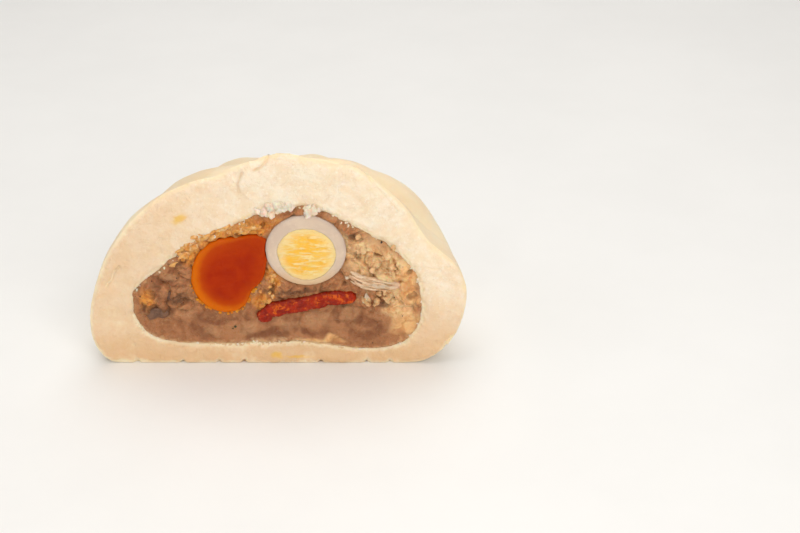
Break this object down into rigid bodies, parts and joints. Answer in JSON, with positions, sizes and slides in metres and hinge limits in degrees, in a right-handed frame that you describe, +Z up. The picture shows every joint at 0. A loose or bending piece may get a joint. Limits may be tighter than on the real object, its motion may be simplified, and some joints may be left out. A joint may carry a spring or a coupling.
{
  "type": "halved steamed pork bun with egg filling",
  "caption": "Half of a large pleated steamed bun, cut face showing minced pork, a salted egg yolk, a halved quail egg and a strip of red sausage.",
  "frame": {"origin": "on the flat base, midway between the left and right sides and midway between the cut face and the pleated back", "axes": "+X along the cut face to the right as seen from the cut side, +Y from the cut face back into the bun, +Z up from the base to the gathered top"},
  "size_m": [0.1134, 0.051, 0.0713],
  "materials": {
    "dough": "satin ivory skin outside, matte cream crumb at the cut",
    "pork_filling": "moist minced pork, pinkish brown",
    "salted_yolk": "glossy waxy orange-red, lighter orange at the rim",
    "egg_white": "smooth translucent white",
    "egg_yolk": "mealy cooked yolk, pale yellow",
    "sausage": "oily cured red meat",
    "shred": "pale fibrous cooked pork",
    "mushroom": "moist dark brown"
  },
  "bodies": {
    "root": {"dough": "dough", "pork_filling": "pork_filling", "salted_egg_yolk": "salted_yolk", "quail_egg_white": "egg_white", "quail_egg_yolk": "egg_yolk", "red_sausage": "sausage", "pork_shred": "shred", "mushroom_strip_1": "mushroom", "mushroom_strip_2": "mushroom"}
  },
  "joints": []
}
